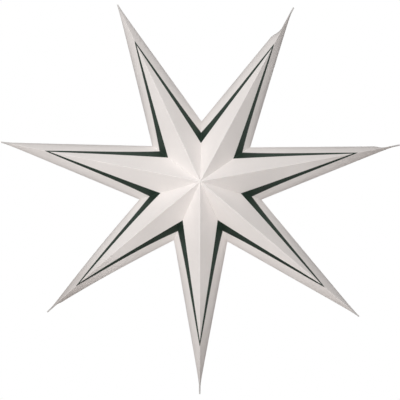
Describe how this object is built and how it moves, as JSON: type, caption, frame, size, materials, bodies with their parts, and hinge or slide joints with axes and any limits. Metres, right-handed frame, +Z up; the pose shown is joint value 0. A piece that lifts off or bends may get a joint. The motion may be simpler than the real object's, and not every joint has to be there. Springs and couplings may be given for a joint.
{
  "type": "paper star",
  "caption": "Hanging fold-flat paper star shade with hollow card points, a ridge along each point and a tapered printed line around the front.",
  "frame": {"origin": "bottom of the top valley, in the star's middle plane, where the star hangs from its cord", "axes": "+X to the right as the front is seen, +Y from the front to the back, +Z up with the lone point hanging straight down"},
  "size_m": [0.5884, 0.17, 0.571],
  "materials": {
    "card": "matt uncoated white card, faintly warm",
    "printed_line": "matt dark green print on the card"
  },
  "bodies": {
    "root": {"bottom_point": "card", "lower_right_point": "card", "right_point": "card", "upper_right_point": "card", "upper_left_point": "card", "left_point": "card", "lower_left_point": "card", "printed_lines": "printed_line"}
  },
  "joints": []
}
